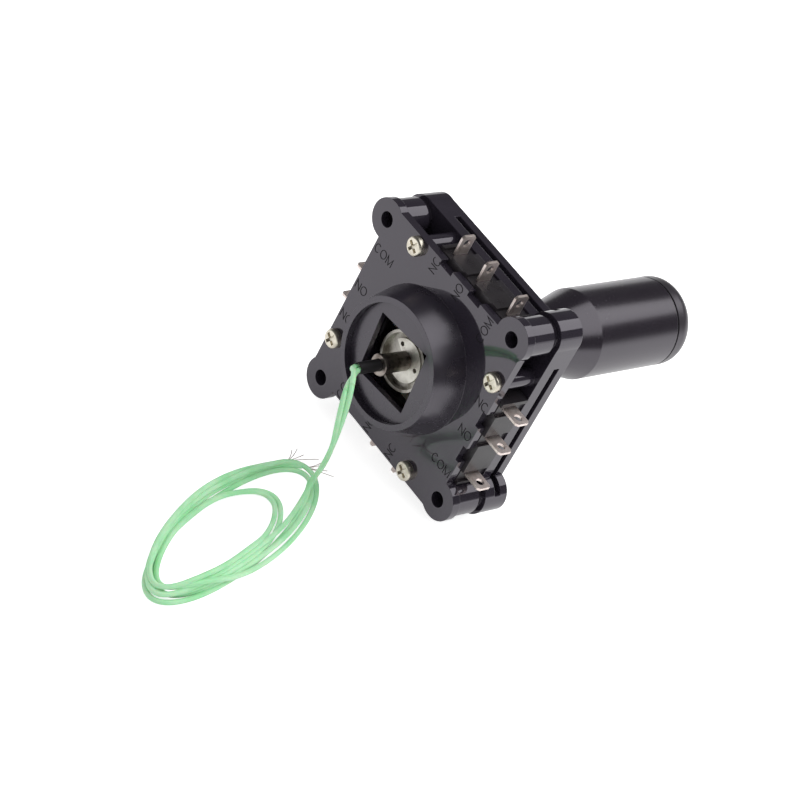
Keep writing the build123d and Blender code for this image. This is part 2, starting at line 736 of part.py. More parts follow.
# Sleeve that the wires leave the tube in, and the stretch of both wires inside the stick
sleeve_front = tube_back - sleeve_in
with BuildPart() as wire_sleeve:
    turned((-sleeve_back, sleeve_in_r), (-sleeve_back, sleeve_r),
           (-sleeve_front, sleeve_r), (-sleeve_front, sleeve_in_r))
save(wire_sleeve, "wire_sleeve")

wire_r = wire_d / 2
wire_apart = wire_r + press_gap / 2
solder_at = push_pin_at - push_pin_r - wire_r - press_gap
with BuildPart() as inner_wires:
    for way in (-1, 1):
        with BuildLine() as lead:
            FilletPolyline((-sleeve_back, way * wire_apart, 0), (tube_front + lead_straight, way * wire_apart, 0),
                           (knob_floor - lead_end, way * solder_at, 0),
                           (knob_floor - lead_solder, way * solder_at, 0), radius=lead_bend_r)
        with BuildSketch(Plane(origin=lead.line @ 0, z_dir=lead.line % 0)):
            Circle(wire_r)
        sweep(path=lead.line)
save(inner_wires, "inner_wires")

# Free wires: down to the bench, then a long loose coil that is drawn as one flat ring
exit_gap = 0.06
coil_gap = 0.2          # from the ends of the falling wires to the coil
wire_loose = 0.18       # how much further apart the wires lie once they have left the sleeve
wire_route = [
    (-sleeve_back - exit_gap, 0.0, 0.0),
    (-28.9, -0.2, 0.2),
    (-31.2, -2.6, 1.7),
    (-34.2, -5.6, 2.0),
    (-36.2, -7.9, -0.2),
    (-35.9, -8.3, -4.5),
    (-34.6, -7.8, -9.4),
    (-33.2, -6.6, -14.5),
    (-32.2, -5.2, -18.7),
    (-31.8, -4.1, floor_z + coil_h + coil_gap),
]
# At each of these points, the way from the middle of the pair to the second wire: the pair twists as it falls
wire_twist = [
    (0, 1, 0), (-0.3, 0.85, 0.3), (0, 0.32, 0.95), (0.33, -0.56, 0.72), (0.86, -0.5, 0),
    (0.6, -0.8, 0), (0.1, -1, 0), (-0.5, -0.85, 0), (-0.85, -0.5, 0), (-1, 0, 0),
]


def run_radii(points):
    """Arc radius at each inner point: 0.45 of the shorter run over the tangent of half the turn."""
    radii = []
    for before, here, after in zip(points, points[1:], points[2:]):
        run_in = Vector(*here) - Vector(*before)
        run_out = Vector(*after) - Vector(*here)
        half_turn = radians(run_in.get_angle(run_out)) / 2
        radii.append(0.45 * min(run_in.length, run_out.length) / tan(half_turn))
    return radii


for way, wire_name in ((-1, "wire_run_a"), (1, "wire_run_b")):
    spread = [wire_apart, wire_apart + wire_loose / 2] + (len(wire_route) - 2) * [wire_apart + wire_loose]
    points = [tuple(Vector(*middle) + way * shift * Vector(*towards).normalized())
              for middle, towards, shift in zip(wire_route, wire_twist, spread)]
    radii = run_radii(points)
    with BuildPart() as wire_run:
        with BuildLine() as route:
            FilletPolyline(*points, radius=radii)
        with BuildSketch(Plane(origin=route.line @ 0, z_dir=route.line % 0)):
            Circle(wire_r)
        sweep(path=route.line)
    run_length = sum(edge.length for edge in route.edges())
    print(wire_name, "length", round(run_length, 2), "radii", [round(radius, 1) for radius in radii],
          "volume over section times length", round(wire_run.part.volume / (pi * wire_r ** 2 * run_length), 4))
    save(wire_run, wire_name)

with BuildPart() as wire_coil:
    with BuildSketch(Plane.XY.offset(floor_z)):
        with Locations(Location((coil_at[0], coil_at[1], 0), (0, 0, coil_turn))):
            Ellipse(coil_long, coil_wide)
        with Locations(Location((coil_eye_at[0], coil_eye_at[1], 0), (0, 0, coil_turn))):
            Ellipse(coil_eye_long, coil_eye_wide, mode=Mode.SUBTRACT)
    extrude(amount=coil_h)
save(wire_coil, "wire_coil")
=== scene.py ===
# %% [markdown]
# An industrial joystick, seen from behind its panel. The frame holds every rigid piece at its real size,
# so this file gives each of them its finish, and makes what a rigid model can't: the two thin leads and
# their loose coil, their bare ends, and the thin lettering beside the solder tabs.
# The first cell loads the frame, and gives a way to measure the box of any of its pieces.

# %% Load the frame
import bpy
import json
import numpy as np
from math import cos, pi, radians, sin
from mathutils import Matrix, Vector


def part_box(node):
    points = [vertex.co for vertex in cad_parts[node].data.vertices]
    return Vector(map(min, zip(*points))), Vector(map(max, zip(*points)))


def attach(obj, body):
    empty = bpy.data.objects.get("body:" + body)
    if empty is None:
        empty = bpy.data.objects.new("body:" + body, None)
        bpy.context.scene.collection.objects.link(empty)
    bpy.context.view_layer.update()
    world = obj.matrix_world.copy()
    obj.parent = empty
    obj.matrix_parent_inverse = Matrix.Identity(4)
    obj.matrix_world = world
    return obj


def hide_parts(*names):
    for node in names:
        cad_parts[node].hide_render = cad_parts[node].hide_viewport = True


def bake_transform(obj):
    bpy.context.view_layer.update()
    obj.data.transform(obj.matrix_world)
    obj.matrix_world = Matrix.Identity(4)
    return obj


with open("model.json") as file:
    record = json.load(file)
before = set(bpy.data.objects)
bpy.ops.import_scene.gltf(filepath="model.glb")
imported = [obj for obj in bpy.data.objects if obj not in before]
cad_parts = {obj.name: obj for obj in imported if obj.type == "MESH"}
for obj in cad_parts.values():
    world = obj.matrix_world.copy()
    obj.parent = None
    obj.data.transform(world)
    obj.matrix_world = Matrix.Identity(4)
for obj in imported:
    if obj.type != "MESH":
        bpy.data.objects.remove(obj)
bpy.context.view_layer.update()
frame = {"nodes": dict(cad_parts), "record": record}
nodes = frame["nodes"]
MM = 0.001

# %% [markdown]
# The picture is taken from behind and above with a long lens, rolled over to one side. A camera can be
# aimed by three turns, but a roll is hard to read in turns. So it is given by its place and by two
# directions: what points right in the picture, and what points back towards the viewer. The third
# direction is square to both.

# %% Camera
CAMERA_AT = Vector((-328.81, -244.29, 233.75)) * MM
PICTURE_RIGHT = Vector((0.7252, -0.59548, 0.34568))
PICTURE_BACK = Vector((-0.67632, -0.52192, 0.5198))
LENS_MM = 116.2
SENSOR_MM = 36.0
NEAREST = 0.01

back = PICTURE_BACK.normalized()
right = (PICTURE_RIGHT - back * PICTURE_RIGHT.dot(back)).normalized()
up = back.cross(right)
camera = bpy.data.objects.new("camera", bpy.data.cameras.new("camera"))
bpy.context.scene.collection.objects.link(camera)
camera.data.lens = LENS_MM
camera.data.sensor_width = SENSOR_MM
camera.data.clip_start = NEAREST
camera.matrix_world = Matrix.Translation(CAMERA_AT) @ Matrix((right, up, back)).transposed().to_4x4()
bpy.context.scene.camera = camera
print("camera", round(CAMERA_AT.length, 3), "m from the stick's pivot")

# %% [markdown]
# Every new surface here is a profile carried along a path: a grid of points, one row for each place on
# the path and one column for each point of the profile. Such a grid could be made with Blender's own
# curve bevel, but then its points are out of reach. The helpers below work out the grid as whole arrays
# and hand it to the mesh in one go.

# %% Surfaces from grids
def put_mesh(name, points, faces, smooth=True):
    """Object at the origin from an array of points in metres and a list of faces."""
    mesh = bpy.data.meshes.new(name)
    mesh.from_pydata(np.asarray(points, float).tolist(), [], [list(face) for face in faces])
    mesh.polygons.foreach_set("use_smooth", np.full(len(mesh.polygons), smooth))
    mesh.update()
    made = bpy.data.objects.new(name, mesh)
    bpy.context.scene.collection.objects.link(made)
    return made


def grid_faces(rows, columns, first=0):
    """Faces of a tube of rows rings with columns points each, with a cap at either end."""
    row, column = np.meshgrid(np.arange(rows - 1), np.arange(columns), indexing="ij")
    beside = (column + 1) % columns
    quads = np.stack([row * columns + column, row * columns + beside,
                      (row + 1) * columns + beside, (row + 1) * columns + column], axis=-1)
    faces = (quads.reshape(-1, 4) + first).tolist()
    faces.append([first + i for i in reversed(range(columns))])
    faces.append([first + (rows - 1) * columns + i for i in range(columns)])
    return faces


print("grid helpers ready")

# %% [markdown]
# A lead and a bare strand are both round tubes. Each ring of a tube needs two directions square to the
# path. If they were worked out for each ring by itself, the tube could spin about its own middle where
# the path turns, so they are carried along from ring to ring instead.

# %% Round tubes
FIRST_GUESS = (0.3, 0.2, 0.9)   # not along any path's start, so the first ring's directions exist


def directions(path):
    """Unit direction of a path at each of its points: from the point before to the point after."""
    ahead = np.gradient(path, axis=0)
    return ahead / np.linalg.norm(ahead, axis=1)[:, None]


def tube_grid(path, radius, around=14):
    """Rings round a path: centre + radius x (cos a x side + sin a x over), with side and over carried
    along the path so that they never spin about it."""
    ahead = directions(path)
    side = np.empty_like(path)
    carried = np.cross(ahead[0], FIRST_GUESS)
    for i, way in enumerate(ahead):
        carried = carried - way * (carried @ way)
        carried /= np.linalg.norm(carried)
        side[i] = carried
    over = np.cross(ahead, side)
    angle = np.linspace(0, 2 * pi, around, endpoint=False)
    ring = side[:, None] * np.cos(angle)[None, :, None] + over[:, None] * np.sin(angle)[None, :, None]
    return (path[:, None] + radius * ring).reshape(-1, 3)


print("tube helpers ready")

# %% [markdown]
# Two green leads leave the sleeve side by side, stand away from the tube for a moment, and fall to the
# bench. As they fall they twist round each other. They could be two routes written out point by point,
# but then no one could see that they keep their distance. So there is one route for their middle, and a
# second table that says for each point which way lead b lies from it. The route is the rigid model's,
# with its second and third point half a millimetre off, as thin leads bend sooner than stiff tubes.

# %% Fall of the leads
WIRE_D = 0.95 * MM
WIRE_R = WIRE_D / 2
SLEEVE_BACK = 27.2
EXIT_GAP = 0.06
WIRE_APART = 0.48               # from the middle of the pair to each lead, in the sleeve
WIRE_LOOSE = 0.07               # how much further apart they lie outside it
COIL_GAP = 0.2
COIL_H = 2.6
FLOOR_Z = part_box("wire_coil")[0].z / MM
FALL = [
    (-SLEEVE_BACK - EXIT_GAP, 0.0, 0.0),
    (-28.5, -0.45, 0.15),
    (-30.9, -2.8, 1.6),
    (-34.2, -5.6, 2.0),
    (-36.2, -7.9, -0.2),
    (-35.9, -8.3, -4.5),
    (-34.6, -7.8, -9.4),
    (-33.2, -6.6, -14.5),
    (-32.2, -5.2, -18.7),
    (-31.8, -4.1, FLOOR_Z + COIL_H + COIL_GAP),
]
TWIST = [
    (0, 1, 0), (-0.3, 0.85, 0.3), (0, 0.32, 0.95), (0.33, -0.56, 0.72), (0.86, -0.5, 0),
    (0.95, 0.1, 0.15), (0.74, 0.62, 0.28), (0.74, 0.62, 0.25), (0.8, 0.5, 0.2), (0.9, 0.2, 0.1),
]


def fall_of(way):
    """Points of one lead's fall: the middle's points, moved to its side of the pair."""
    apart = [WIRE_APART] + (len(FALL) - 1) * [WIRE_APART + WIRE_LOOSE]
    return [tuple(Vector(middle) + way * gap * Vector(towards).normalized())
            for middle, towards, gap in zip(FALL, TWIST, apart)]


print("fall of", len(FALL), "points to", round(FLOOR_Z, 2), "mm")

# %% [markdown]
# On the bench the leads lie in a loose coil of almost three turns. It could be drawn turn by turn, or
# dropped by a simulation, but neither is easy to change. Here a turn is an ellipse whose reach to each
# of its four ends changes slowly from turn to turn, as loose turns do, so a few numbers give the coil.
# The tables are (turns made so far, reach in mm), seen from the coil's middle.

# %% Turns of the coil
COIL_AT = (-54.0, -10.0)
COIL_TURN = radians(24)
COIL_START = radians(-46)       # where the fall meets the first turn, from the coil's long axis
NEAR_END = [(0, 27.0), (0.6, 26.8), (0.87, 28.2), (1.1, 27.4),
            (1.5, 20.0), (1.87, 14.8), (2.3, 21.0), (2.87, 28.4)]
FAR_END = [(0, 26.2), (0.37, 26.5), (0.9, 25.4), (1.37, 24.0), (1.9, 24.6), (2.37, 25.6), (3, 25.0)]
UPPER_SIDE = [(0, 7.6), (0.62, 7.4), (0.9, 7.6), (1.62, 6.3), (2.62, 8.0), (3, 8.0)]
LOWER_SIDE = [(0, 7.0), (0.12, 7.1), (0.7, 7.8), (0.97, 9.1),
              (1.12, 8.0), (1.4, 7.0), (2.12, 6.1), (3, 6.3)]
ROUNDED_OVER = 0.16             # turns to either side over which a reach is averaged
AVERAGED = 9


def reach(table, turns):
    """Reach at a number of turns: a straight line between the table's places, rounded off."""
    places, values = zip(*table)
    shifts = np.linspace(-ROUNDED_OVER, ROUNDED_OVER, AVERAGED)
    return np.mean([np.interp(turns + shift, places, values) for shift in shifts], axis=0)


def coil_plan(turns, offset):
    """Place on the bench after so many turns: an ellipse through the four reaches, offset outwards."""
    angle = COIL_START - 2 * pi * turns
    near, far = reach(NEAR_END, turns) + offset, reach(FAR_END, turns) + offset
    upper, lower = reach(UPPER_SIDE, turns) + offset, reach(LOWER_SIDE, turns) + offset
    along = (near - far) / 2 + (near + far) / 2 * np.cos(angle)
    across = (upper - lower) / 2 + (upper + lower) / 2 * np.sin(angle)
    return np.stack([COIL_AT[0] + along * cos(COIL_TURN) - across * sin(COIL_TURN),
                     COIL_AT[1] + along * sin(COIL_TURN) + across * cos(COIL_TURN)], axis=-1)


print("the first turn starts at", coil_plan(np.zeros(1), 0.0)[0].round(1), "mm")

# %% [markdown]
# Leads that cross lie on each other. A rigid body simulation would find their height, at the cost of
# many tries. The rule is simple enough to write down: a strand lies on the bench, or as high over each
# strand that was laid before it as two round wires need. Then its height is smoothed, as a stiff wire
# would do by itself.

# %% Height of a strand
OWN_CLEAR = 7                   # fine steps behind a point that can't lie under it
SMOOTHINGS = 3
SMOOTHED_OVER = 2               # fine steps to either side


def settle(plan, laid, diameter):
    """Height of a strand's middle over the bench: half a diameter, or high enough to lie across the
    strands that were laid before it, smoothed along the strand."""
    own = np.c_[plan, np.full(len(plan), diameter / 2)]
    for i in range(len(plan)):
        under = laid if i < OWN_CLEAR else np.r_[laid, own[:i - OWN_CLEAR]]
        if len(under):
            gap = np.linalg.norm(under[:, :2] - plan[i], axis=1)
            near = gap < diameter
            if near.any():
                lift = under[near, 2] + np.sqrt(diameter ** 2 - gap[near] ** 2)
                own[i, 2] = max(own[i, 2], lift.max())
    for _ in range(SMOOTHINGS):
        padded = np.pad(own[:, 2], SMOOTHED_OVER, mode="edge")
        spread = np.stack([padded[k:k + len(plan)] for k in range(2 * SMOOTHED_OVER + 1)])
        own[:, 2] = np.maximum(own[:, 2], spread.mean(0))
    return own


print("a crossing lifts a lead by up to", round(WIRE_D / MM, 2), "mm")

# %% [markdown]
# Now both leads can be laid. Each is one NURBS curve through its fall and its turns. Its order is 3 and
# it reaches its end points, so it is smooth and cuts each corner a little, as a real wire would. The
# order is set after the points, because a curve without points can't take it. The two leads change
# sides about once a turn, and each also wanders a little by itself.

# %% Lay both leads
POINTS_A_TURN = 16
FINE_STEPS = 8                  # steps between two of the curve's points, to find the height
PAIR_OFFSET = 0.56              # from the middle of the pair to each lead on the bench
PAIR_SWINGS = 0.53              # how often a turn the leads change sides and back
WANDERS = 1.7                   # how often a turn a lead wanders by itself
LEADS = (("a", -1, 2.89, 0.25), ("b", 1, 2.82, 0.35))     # name, side, turns, how far it wanders


def coil_points(turns, offset, wander, laid):
    """Points of one lead's turns, and the fine strand that later ones lie on: the coil's plan, offset by
    a cosine that takes the lead from one side of the pair to the other, plus a small sine of its own."""
    fine = np.linspace(0, turns, int(turns * POINTS_A_TURN) * FINE_STEPS + 1)
    swing = offset * np.cos(2 * pi * PAIR_SWINGS * fine)
    own_way = wander * np.sin(2 * pi * (WANDERS * fine + offset))
    strand = settle(coil_plan(fine, swing + own_way), laid, WIRE_D / MM)
    return strand[::FINE_STEPS], strand


def nurbs_line(name, points):
    """The smooth line of a NURBS curve with these control points in metres."""
    data = bpy.data.curves.new(name, "CURVE")
    data.dimensions = "3D"
    spline = data.splines.new("NURBS")
    spline.points.add(len(points) - 1)
    for point, place in zip(spline.points, points):
        point.co = (*place, 1.0)
    spline.order_u = 3
    spline.use_endpoint_u = True
    spline.resolution_u = 8
    holder = bpy.data.objects.new(name, data)
    mesh = bpy.data.meshes.new_from_object(holder)
    line = np.array([vertex.co for vertex in mesh.vertices], float)
    bpy.data.meshes.remove(mesh)
    bpy.data.curves.remove(data)
    return line


laid = np.empty((0, 3))
lines = {}
for lead, way, turns, wander in LEADS:
    turns_of_lead, strand = coil_points(turns, -PAIR_OFFSET * way, wander, laid)
    laid = np.r_[laid, strand]
    on_bench = [(x, y, FLOOR_Z + z) for x, y, z in turns_of_lead]
    lines[lead] = nurbs_line(f"route_{lead}", np.array(fall_of(way) + on_bench) * MM)
print("top of the coil", round(laid[:, 2].max(), 2), "mm over the bench")

# %% [markdown]
# When the stick tilts, its end swings by six millimetres while the coil stays on the bench, so the leads
# have to bend. One piece can only bend between two bodies that share a joint, and there are two joints.
# So the first centimetre of each lead is a piece of its own that bends between the gimbal and the stick,
# and the rest bends between the housing and the gimbal. Together they follow both tilts.
# The body is nearly a mirror, and would show the coil as a large green patch. A joystick that lies
# tipped on its knob turns that mirror away from the coil, but this one stands level. So the rest of
# each lead is left out of reflections, and only its first centimetre shows in the plate.

# %% Leads
FIRST_PIECE = 9.5 * MM


def length_of(line):
    """Length of a line: the sum of its steps."""
    return float(np.linalg.norm(np.diff(line, axis=0), axis=1).sum())


def wire_tube(name, path):
    """Round tube along a path, as thick as the lead."""
    grid = tube_grid(path, WIRE_R)
    return put_mesh(name, grid, grid_faces(len(path), len(grid) // len(path)))


wires, first_bits, cuts = {}, {}, {}
for lead, line in lines.items():
    run = np.concatenate([[0], np.cumsum(np.linalg.norm(np.diff(line, axis=0), axis=1))])
    cut = cuts[lead] = int(np.searchsorted(run, FIRST_PIECE))
    first_bits[lead] = wire_tube(f"lead_start_{lead}", line[:cut + 1])
    wires[lead] = wire_tube(f"lead_{lead}", line[cut:])
    wires[lead].visible_glossy = False
    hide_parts(f"wire_run_{lead}", "wire_coil")
    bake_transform(first_bits[lead])
    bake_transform(wires[lead])
    print("lead", lead, round(length_of(line), 4), "m, cut after", cut, "of", len(line), "points")

# %% [markdown]
# Both leads end stripped, with a few tinned strands that fan out. They could be scattered at random, but
# then they would need a seed and many tries to look right. Each strand is a very thin tube that starts
# inside the insulation and bends aside and up by its own amount, from a short table.

# %% Bare ends
STRAND_R = 0.075 * MM
STRIPPED = 5.5 * MM
STRANDS = ((-0.5, 0.30, 1.0), (0.05, 0.12, 0.85), (0.55, 0.34, 0.72), (1.05, 0.2, 0.6))
STRAND_INSIDE = 0.25            # share of the stripped length that a strand also has in the insulation
STRAND_POINTS = 12
STRAND_AROUND = 6
UP = np.array([0, 0, 1.0])


def strand_path(root, ahead, side, bend, rise, share):
    """Curve that leaves the root straight ahead, and bends aside and up with the square of the way."""
    way = np.linspace(-STRAND_INSIDE, share, STRAND_POINTS)[:, None]
    bent = np.clip(way, 0, None) ** 2
    return root + STRIPPED * (way * ahead + bent * bend * side + bent * rise * UP)


bare_ends = {}
for lead, line in lines.items():
    ahead = directions(line)[-1] * (1, 1, 0)
    ahead /= np.linalg.norm(ahead)
    side = np.cross(UP, ahead)
    points, faces = np.empty((0, 3)), []
    for bend, rise, share in STRANDS:
        path = strand_path(line[-1], ahead, side, bend, rise, share)
        faces += grid_faces(STRAND_POINTS, STRAND_AROUND, first=len(points))
        points = np.r_[points, tube_grid(path, STRAND_R, STRAND_AROUND)]
    bare_ends[lead] = put_mesh(f"bare_end_{lead}", points, faces)
    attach(bare_ends[lead], "housing")
print("bare strands on each lead:", len(STRANDS))

# %% [markdown]
# Beside each solder tab stands its name in thin moulded strokes, no thicker than a hair. A text object
# would bring a font that isn't the mould maker's, with strokes of the wrong width. So a letter is a few
# lines in a box one unit high, and a stroke is a flat bar carried along its line, with its corners
# mitred: at a corner the bar's edge goes along the half-way direction, lengthened so that both arms
# keep their width.

# %% Letters
LETTER_H = 1.7
LETTER_GAP = 0.24
STROKE_HALF = 0.07
STROKE_RISE = 0.05
SHARPEST = 0.35                 # a corner sharper than this cosine isn't lengthened any more


def arc(start, stop, wide, high, count=20):
    """Points of an ellipse in the letter's box, from one angle to another."""
    angle = np.radians(np.linspace(start, stop, count))
    return [(wide * (1 + cos(a)) / 2, high * (1 + sin(a)) / 2) for a in angle]


# Width and strokes of each letter
LETTERS = {
    "C": (0.78, [arc(48, 312, 0.78, 1.0)]),
    "O": (0.86, [arc(0, 360, 0.86, 1.0, 28)]),
    "M": (0.86, [[(0, 0), (0, 1), (0.43, 0.05), (0.86, 1), (0.86, 0)]]),
    "N": (0.70, [[(0, 0), (0, 1), (0.70, 0), (0.70, 1)]]),
}


def stroke_grid(points):
    """Corners of a flat bar along a line: left and right edge, low and high."""
    path = np.array(points, float)
    step = np.diff(path, axis=0)
    step /= np.linalg.norm(step, axis=1)[:, None]
    across = np.stack([-step[:, 1], step[:, 0]], axis=1)
    before, after = np.r_[across[:1], across], np.r_[across, across[-1:]]
    half_way = before + after
    half_way /= np.linalg.norm(half_way, axis=1)[:, None]
    stretch = 1 / np.clip((half_way * before).sum(1), SHARPEST, None)
    edge = half_way * (stretch * STROKE_HALF)[:, None]
    low, high = np.full((len(path), 1), -STROKE_RISE), np.full((len(path), 1), STROKE_RISE)
    return np.stack([np.c_[path - edge, low], np.c_[path + edge, low],
                     np.c_[path + edge, high], np.c_[path - edge, high]], axis=1).reshape(-1, 3)


print("letters:", *LETTERS)

# %% [markdown]
# A word is its letters in a row, centred on its middle. Its grids are joined into one set of points, so
# that a name can be moved as a whole.

# %% Words
def word_width(text):
    """Width of a word in letter heights."""
    return sum(LETTERS[letter][0] for letter in text) + LETTER_GAP * (len(text) - 1)


def word_mesh(text):
    """Grid points and faces of a word in its own flat frame, centred on its middle."""
    points, faces, x = np.empty((0, 3)), [], -word_width(text) / 2
    for letter in text:
        wide, strokes = LETTERS[letter]
        for stroke in strokes:
            scaled = [((x + px) * LETTER_H, (py - 0.5) * LETTER_H) for px, py in stroke]
            faces += grid_faces(len(scaled), 4, first=len(points))
            points = np.r_[points, stroke_grid(scaled)]
        x += wide + LETTER_GAP
    return points, faces


print("COM is", round(word_width("COM") * LETTER_H, 2), "mm wide")

# %% [markdown]
# The switches are turned a little from the bolt square, and the names turn with them. Every name reads
# along its own tab, and ends just inside the plate's edge. How far back the plate's face lies is
# measured on the frame, so the strokes stand on the real face.

# %% Names on the plate
SIDE_SLANT = 5.5
TAB_PLACES = {"NC": 5.6, "NO": -1.47, "COM": -10.4}
SIDES_READ = (1, 1, -1, -1)     # names of the last two sides read inwards
LABEL_END = 19.1                # outer end of each name, half a millimetre inside the plate's edge
COLLAR_R = 13.7

plate_points = np.empty(3 * len(nodes["rear_housing"].data.vertices))
nodes["rear_housing"].data.vertices.foreach_get("co", plate_points)
plate_points = plate_points.reshape(-1, 3) / MM
outside_collar = np.hypot(plate_points[:, 1], plate_points[:, 2]) > COLLAR_R + 1
PLATE_X = plate_points[outside_collar, 0].min()

label_points, label_faces = np.empty((0, 3)), []
for side, way in enumerate(SIDES_READ):
    turn = radians(90 * side + SIDE_SLANT)
    along = np.array([0, cos(turn), sin(turn)])
    outwards = np.array([0, -sin(turn), cos(turn)])
    for text, place in TAB_PLACES.items():
        points, faces = word_mesh(text)
        middle_out = LABEL_END - word_width(text) * LETTER_H / 2
        middle = np.array([PLATE_X, 0, 0]) + place * along + middle_out * outwards
        lifted = middle + way * (points[:, :1] * outwards + points[:, 1:2] * along)
        lifted[:, 0] -= points[:, 2]
        label_faces += [[i + len(label_points) for i in face] for face in faces]
        label_points = np.r_[label_points, lifted]
labels = put_mesh("tab_names", label_points * MM, label_faces, smooth=False)
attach(labels, "housing")
print("names on the plate:", len(SIDES_READ) * len(TAB_PLACES), "at", round(PLATE_X, 2), "mm")

# %% [markdown]
# Materials are small sums on node sockets. Linking nodes by hand hides what is worked out, so one class
# stands for a socket: plus, minus and times on it add a Math node, and its one method adds any other
# node. Then a material reads like the sum that it is.

# %% Sums on sockets
class Socket:
    """One output socket in a material's node tree."""

    def __init__(self, tree, out=None):
        self.tree = tree
        self.out = out

    def node(self, kind, settings=None, inputs=None, output=0):
        """Adds a node: its settings first, then values or links on its inputs. Gives one output back."""
        made = self.tree.nodes.new(kind)
        for key, value in (settings or {}).items():
            if key == "stops":
                while len(made.color_ramp.elements) < len(value):
                    made.color_ramp.elements.new(1.0)
                for element, (place, level) in zip(made.color_ramp.elements, value):
                    element.position = place
                    element.color = (level, level, level, 1.0)
            else:
                setattr(made, key, value)
        for key, value in (inputs or {}).items():
            if isinstance(value, Socket):
                self.tree.links.new(value.out, made.inputs[key])
            else:
                made.inputs[key].default_value = value
        return Socket(self.tree, made.outputs[output] if made.outputs else None)

    def maths(self, operation, first, second):
        return self.node("ShaderNodeMath", {"operation": operation}, {0: first, 1: second})

    def __add__(self, other):
        return self.maths("ADD", self, other)

    __radd__ = __add__

    def __sub__(self, other):
        return self.maths("SUBTRACT", self, other)

    def __rsub__(self, other):
        return self.maths("SUBTRACT", other, self)

    def __mul__(self, other):
        return self.maths("MULTIPLY", self, other)

    __rmul__ = __mul__


print("socket sums ready")

# %% [markdown]
# Every finish is made of the same few things: soft noise, a ramp that turns it into spots, a mix of two
# colours, and bumps. All of them read Object coordinates, which are metres on the piece, so a blob in
# the noise has a real size. What stays the same all over a surface is a plain number on the shader.

# %% Helpers for finishes
def new_finish(name):
    """A new material, and a socket to start its sums from: the place on the piece, in metres."""
    material = bpy.data.materials.new(name)
    material.use_nodes = True
    material.node_tree.nodes.clear()
    return material, Socket(material.node_tree).node("ShaderNodeTexCoord", output=3)


def grain(place, size, detail=2.0, stretch=(1, 1, 1)):
    """Soft noise from 0 to 1 with blobs of about that size in metres, longer where stretch is small."""
    spread = place.node("ShaderNodeMapping", {}, {"Vector": place, "Scale": stretch})
    return place.node("ShaderNodeTexNoise", {}, {"Vector": spread, "Scale": 1 / size, "Detail": detail})


def steps(value, *stops):
    """A value through a ramp of (place, level) stops."""
    return value.node("ShaderNodeValToRGB", {"stops": stops}, {"Fac": value})


def mix(factor, first, second):
    """Colour between two colours."""
    return factor.node("ShaderNodeMix", {"data_type": "RGBA"},
                       {"Factor": factor, 6: (*first, 1.0), 7: (*second, 1.0)}, output=2)


def bumps(height, depth, strength=0.5, edge=0.0):
    """Normal of a surface whose height varies by depth metres, with its edges rounded by edge metres."""
    inputs = {"Height": height, "Distance": depth, "Strength": strength}
    if edge:
        inputs["Normal"] = height.node("ShaderNodeBevel", {"samples": 4}, {"Radius": edge})
    return height.node("ShaderNodeBump", {}, inputs)


def close(place, material, **surface):
    """Puts the shader on the material. A name's underlines stand for spaces."""
    inputs = {name.replace("_", " "): value for name, value in surface.items()}
    shader = place.node("ShaderNodeBsdfPrincipled", {}, inputs)
    place.node("ShaderNodeOutputMaterial", {}, {"Surface": shader})
    return material


finishes = {}
print("finish helpers ready")

# %% [markdown]
# The body is black nylon from a polished mould: nearly a mirror, but with a faint swirl where the melt
# flowed, a little dust, and edges that the mould rounds by a tenth of a millimetre. Modelled roundings
# would cost many faces, so a Bevel node rounds the edges in the normal only. The collar and the gate
# plate are duller than the flat plate. They lie inside one radius and behind the plate's face, and two
# comparisons on the place find them.

# %% Moulded black
TURNED_R = 14.4 * MM
TURNED_FROM = (PLATE_X - 0.05) * MM
TURNED_HAZE = 0.22
SHEEN_TINT = (0.96, 0.91, 1.0, 1.0)     # the dye gives the plastic's shine a faint violet cast
FLOW_GAIN = 1.7                         # how much paler the colour gets where the melt flowed
FLOW_LIFT = 0.004


def moulded_black(name, colour, gloss, spread, swirl=0.00002, edge=0.12 * MM, level=0.5, haze=0.0):
    """Black plastic: roughness from gloss up by spread, waves swirl metres deep, and more haze where the
    body is turned, which is inside the radius TURNED_R and behind TURNED_FROM."""
    material, place = new_finish(name)
    across = place.node("ShaderNodeVectorMath", {"operation": "MULTIPLY"}, {0: place, 1: (0, 1, 1)})
    radius = place.node("ShaderNodeVectorMath", {"operation": "LENGTH"}, {0: across}, output=1)
    x = place.node("ShaderNodeSeparateXYZ", {}, {"Vector": place})
    turned = place.maths("LESS_THAN", radius, TURNED_R) * place.maths("LESS_THAN", x, TURNED_FROM)
    flow = grain(place, 9 * MM, 3.0, (1, 1, 0.45))
    dust = steps(grain(place, 0.35 * MM, 1.0), (0.70, 0.0), (0.80, 1.0))
    pale = tuple(min(1.0, part * FLOW_GAIN + FLOW_LIFT) for part in colour)
    return close(place, material, Base_Color=mix(flow * 0.7 + dust * 0.3, colour, pale),
                 Roughness=gloss + flow * spread + dust * 0.08 + turned * haze,
                 IOR=1.53, Specular_IOR_Level=level, Specular_Tint=SHEEN_TINT,
                 Normal=bumps(flow + grain(place, 1.2 * MM) * 0.08, swirl, 0.35, edge))


